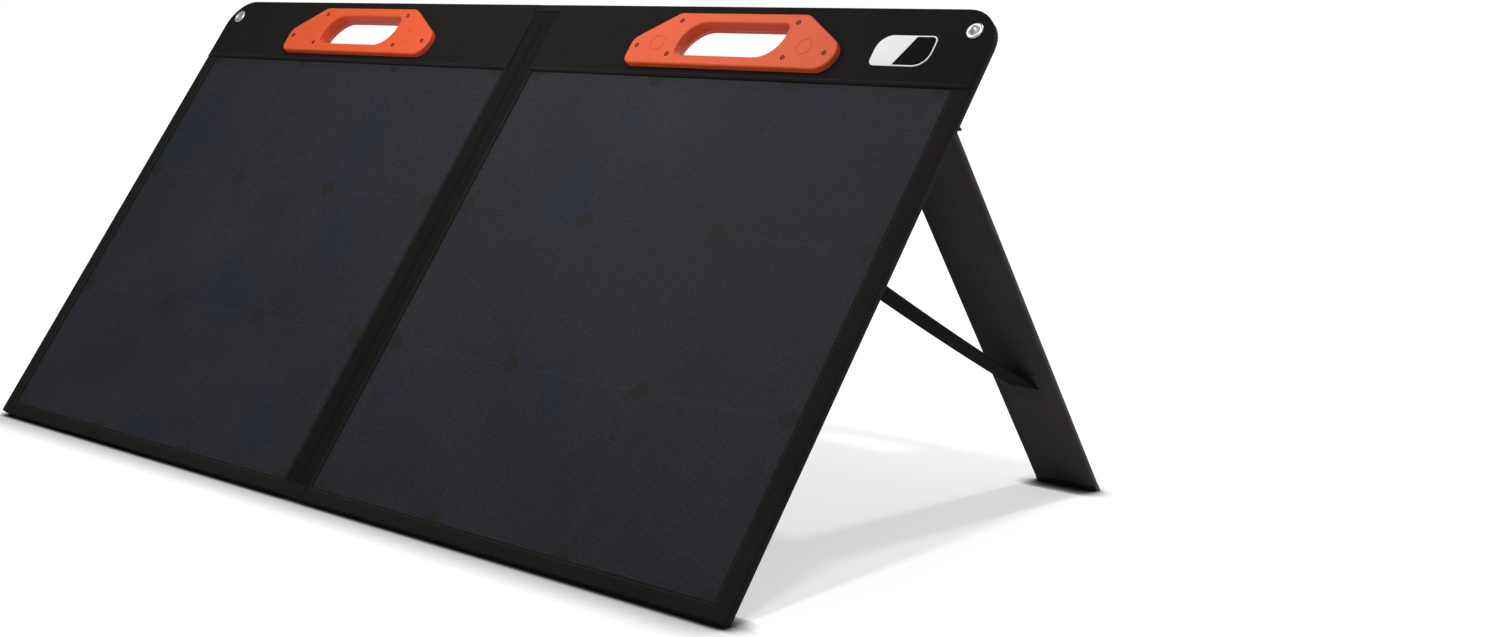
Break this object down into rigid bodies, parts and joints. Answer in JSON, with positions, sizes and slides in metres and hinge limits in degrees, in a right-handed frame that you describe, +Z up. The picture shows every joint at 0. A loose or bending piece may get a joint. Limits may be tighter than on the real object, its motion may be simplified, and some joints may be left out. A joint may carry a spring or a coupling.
{
  "type": "folding solar panel",
  "caption": "Black fabric-covered solar panel that folds in half like a suitcase, with moulded orange carry handles, fold-out strapped legs, corner eyelets and a zipped pouch.",
  "frame": {"origin": "on the ground, under the middle of the open part's footprint", "axes": "+X along the two panels to the right as seen from the front, +Y from the front to the back, +Z up"},
  "size_m": [1.068, 0.5768, 0.4582],
  "materials": {
    "fabric": "black woven polyester",
    "webbing": "black woven tape",
    "handle": "orange moulded plastic",
    "screw": "dark plated steel",
    "nickel": "bright nickel",
    "film": "textured clear film over dark cells",
    "cell": "dark blue silicon",
    "sheet": "white sheet",
    "board": "dark stiff board",
    "ribbon": "flat copper ribbon",
    "zip": "black lacquered metal",
    "circuit": "green circuit board",
    "box": "black moulded plastic"
  },
  "bodies": {
    "right_panel": {"right_back_cover": "fabric", "right_backing_board": "board", "right_top_board": "board", "right_back_sheet": "sheet", "right_solar_cells": "cell", "right_front_film": "film", "right_front_frame": "fabric", "right_top_band": "fabric", "right_edge_binding": "webbing", "right_bottom_hem": "webbing", "right_handle_front": "handle", "right_handle_back": "handle", "right_handle_screws": "screw", "right_handle_magnets": "nickel", "right_eyelet": "nickel", "right_eyelet_washer": "nickel", "right_leg_tab": "webbing", "right_leg_strap": "webbing", "right_strap_patch": "webbing", "spine_front": "fabric", "spine_back": "fabric", "link_ribbon": "ribbon"},
    "left_panel": {"left_back_cover": "fabric", "left_backing_board": "board", "left_top_board": "board", "left_back_sheet": "sheet", "left_solar_cells": "cell", "left_front_film": "film", "left_front_frame": "fabric", "left_top_band": "fabric", "left_edge_binding": "webbing", "left_bottom_hem": "webbing", "left_handle_front": "handle", "left_handle_back": "handle", "left_handle_screws": "screw", "left_handle_magnets": "nickel", "left_eyelet": "nickel", "left_eyelet_washer": "nickel", "left_leg_tab": "webbing", "left_leg_strap": "webbing", "left_strap_patch": "webbing", "pouch_back": "fabric", "pouch_gusset": "fabric", "pouch_base_piping": "webbing", "pouch_fold_strip": "fabric", "zip_base_tape": "webbing", "junction_base": "box", "junction_board": "circuit", "junction_lid": "box", "cable_gland": "box"},
    "right_leg": {"right_leg_sleeve": "fabric", "right_leg_board": "board"},
    "left_leg": {"left_leg_sleeve": "fabric", "left_leg_board": "board"},
    "pouch_cover": {"pouch_cover": "fabric", "pouch_cover_piping": "webbing", "zip_cover_tape": "webbing"},
    "zip_slider": {"zip_slider": "zip"},
    "zip_pull": {"zip_pull": "zip"}
  },
  "joints": [
    {"name": "fold", "type": "hinge", "parent": "right_panel", "child": "left_panel", "pos_m": [0, -0.11804, 0.23638], "axis": [0, 0.6157, 0.788], "range_deg": [0, 180], "deforming": ["spine_front", "spine_back", "link_ribbon"]},
    {"name": "right_leg_hinge", "type": "hinge", "parent": "right_panel", "child": "right_leg", "pos_m": [0.495, 0.0051, 0.35971], "axis": [-1, 0, 0], "range_deg": [0, 75.9], "deforming": ["right_leg_strap"]},
    {"name": "left_leg_hinge", "type": "hinge", "parent": "left_panel", "child": "left_leg", "pos_m": [-0.194, 0.0051, 0.35971], "axis": [-1, 0, 0], "range_deg": [0, 75.9], "deforming": ["left_leg_strap"]},
    {"name": "pouch_cover_hinge", "type": "hinge", "parent": "left_panel", "child": "pouch_cover", "pos_m": [-0.25, -0.13586, 0.16274], "axis": [0, -0.6157, -0.788], "range_deg": [0, 85], "deforming": ["pouch_fold_strip"]},
    {"name": "zip_slide", "type": "slide", "parent": "left_panel", "child": "zip_slider", "axis": [0, 0.6157, 0.788], "range_m": [0, 0.314]},
    {"name": "zip_pull_swing", "type": "hinge", "parent": "zip_slider", "child": "zip_pull", "pos_m": [-0.4473, -0.23559, 0.03508], "axis": [1, 0, 0], "range_deg": [-50, 50]}
  ]
}
